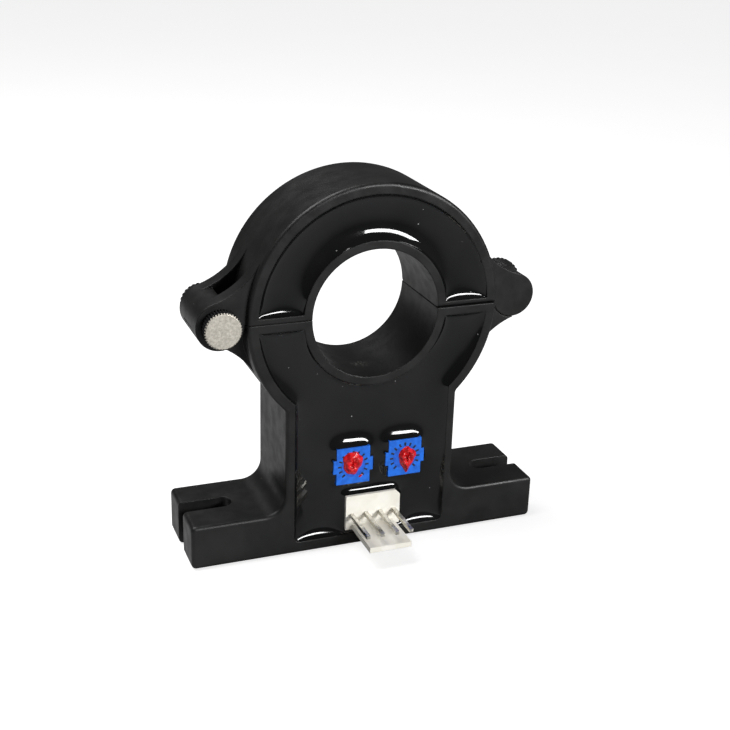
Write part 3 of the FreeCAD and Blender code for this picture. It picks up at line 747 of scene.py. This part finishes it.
# Floor, lights and camera

def camera_only(tree, low, high):
    """A strength that is high to the eye and low in reflections, as on cut-out paper."""
    ray = tree.nodes.new("ShaderNodeLightPath").outputs["Is Camera Ray"]
    scale = tree.nodes.new("ShaderNodeMapRange")
    scale.inputs["To Min"].default_value = low
    scale.inputs["To Max"].default_value = high
    tree.links.new(ray, scale.inputs["Value"])
    return scale.outputs["Result"]


def make_floor():
    """White paper, just under the object."""
    mesh = bpy.data.meshes.new("studio_floor")
    half = 6.0
    glow = 0.8  # with the light on it, just white
    corners = [(-half, -half, 0), (half, -half, 0), (half, half, 0), (-half, half, 0)]
    mesh.from_pydata(corners, [], [(0, 1, 2, 3)])
    paint = Paint("studio_white", (0.9, 0.9, 0.9), 0.7)
    paint.tint(paint.noise(60, 2), (0.89, 0.89, 0.89), (0.91, 0.91, 0.91))
    paint.shader.inputs["Emission Color"].default_value = (1, 1, 1, 1)
    paint.link(camera_only(paint.tree, 0.0, glow), paint.shader.inputs["Emission Strength"])
    mesh.materials.append(paint.material)
    floor = bpy.data.objects.new("studio_floor", mesh)
    bpy.context.scene.collection.objects.link(floor)
    floor.location.z = -0.2 * MM
    return floor


def add_light(name, azimuth, elevation, distance, width, height, radiance, shaded=None):
    """A soft box that faces the object. Azimuth 0 is in front, 90 on the right.

    shaded is a thing that this light doesn't reach.
    """
    light = bpy.data.lights.new(name, "AREA")
    light.shape = "RECTANGLE"
    light.size = width
    light.size_y = height
    light.energy = radiance * math.pi * width * height
    lamp = bpy.data.objects.new(name, light)
    bpy.context.scene.collection.objects.link(lamp)
    a = math.radians(azimuth)
    e = math.radians(elevation)
    away = Vector((math.sin(a) * math.cos(e), -math.cos(a) * math.cos(e), math.sin(e)))
    target = Vector((0, 0, 30 * MM))
    lamp.location = target + away * distance
    lamp.rotation_euler = away.to_track_quat("Z", "Y").to_euler()
    if shaded is not None:
        flagged = bpy.data.collections.new(name + "_flag")
        flagged.objects.link(shaded)
        flagged.collection_objects[0].light_linking.link_state = "EXCLUDE"
        lamp.light_linking.receiver_collection = flagged


def make_camera():
    """The photograph's viewpoint, fitted to its outlines."""
    image_width, focal_pixels = 730, 1252.02
    camera = bpy.data.cameras.new("camera")
    camera.sensor_width = 36
    camera.lens = focal_pixels * camera.sensor_width / image_width
    camera.clip_start = 0.01
    camera.clip_end = 20
    thing = bpy.data.objects.new("camera", camera)
    bpy.context.scene.collection.objects.link(thing)
    right = Vector((0.93366, -0.35701, 0.02881))
    down = Vector((-0.10664, -0.35385, -0.9292))
    ahead = Vector((0.34193, 0.86449, -0.36844))
    turn = Matrix((right, -down, -ahead)).transposed().to_4x4()
    place = Vector((-71.157, -183.275, 107.745)) * MM
    thing.matrix_world = Matrix.Translation(place) @ turn
    bpy.context.scene.camera = thing


bpy.context.scene.view_settings.view_transform = "Standard"
floor = make_floor()
world = bpy.data.worlds.new("studio")
bpy.context.scene.world = world
world.use_nodes = True
world.node_tree.nodes["Background"].inputs["Color"].default_value = (1, 1, 1, 1)
backdrop = world.node_tree.nodes["Background"].inputs["Strength"]
world.node_tree.links.new(camera_only(world.node_tree, 0.08, 1.0), backdrop)
add_light("top_box", -110, 66, distance=0.42, width=0.25, height=0.25, radiance=5.6)
add_light("key_box", 32, 20, distance=0.7, width=0.38, height=0.12, radiance=35, shaded=floor)
add_light("back_box", -160, 60, distance=0.7, width=0.3, height=0.3, radiance=4.5, shaded=floor)
make_camera()
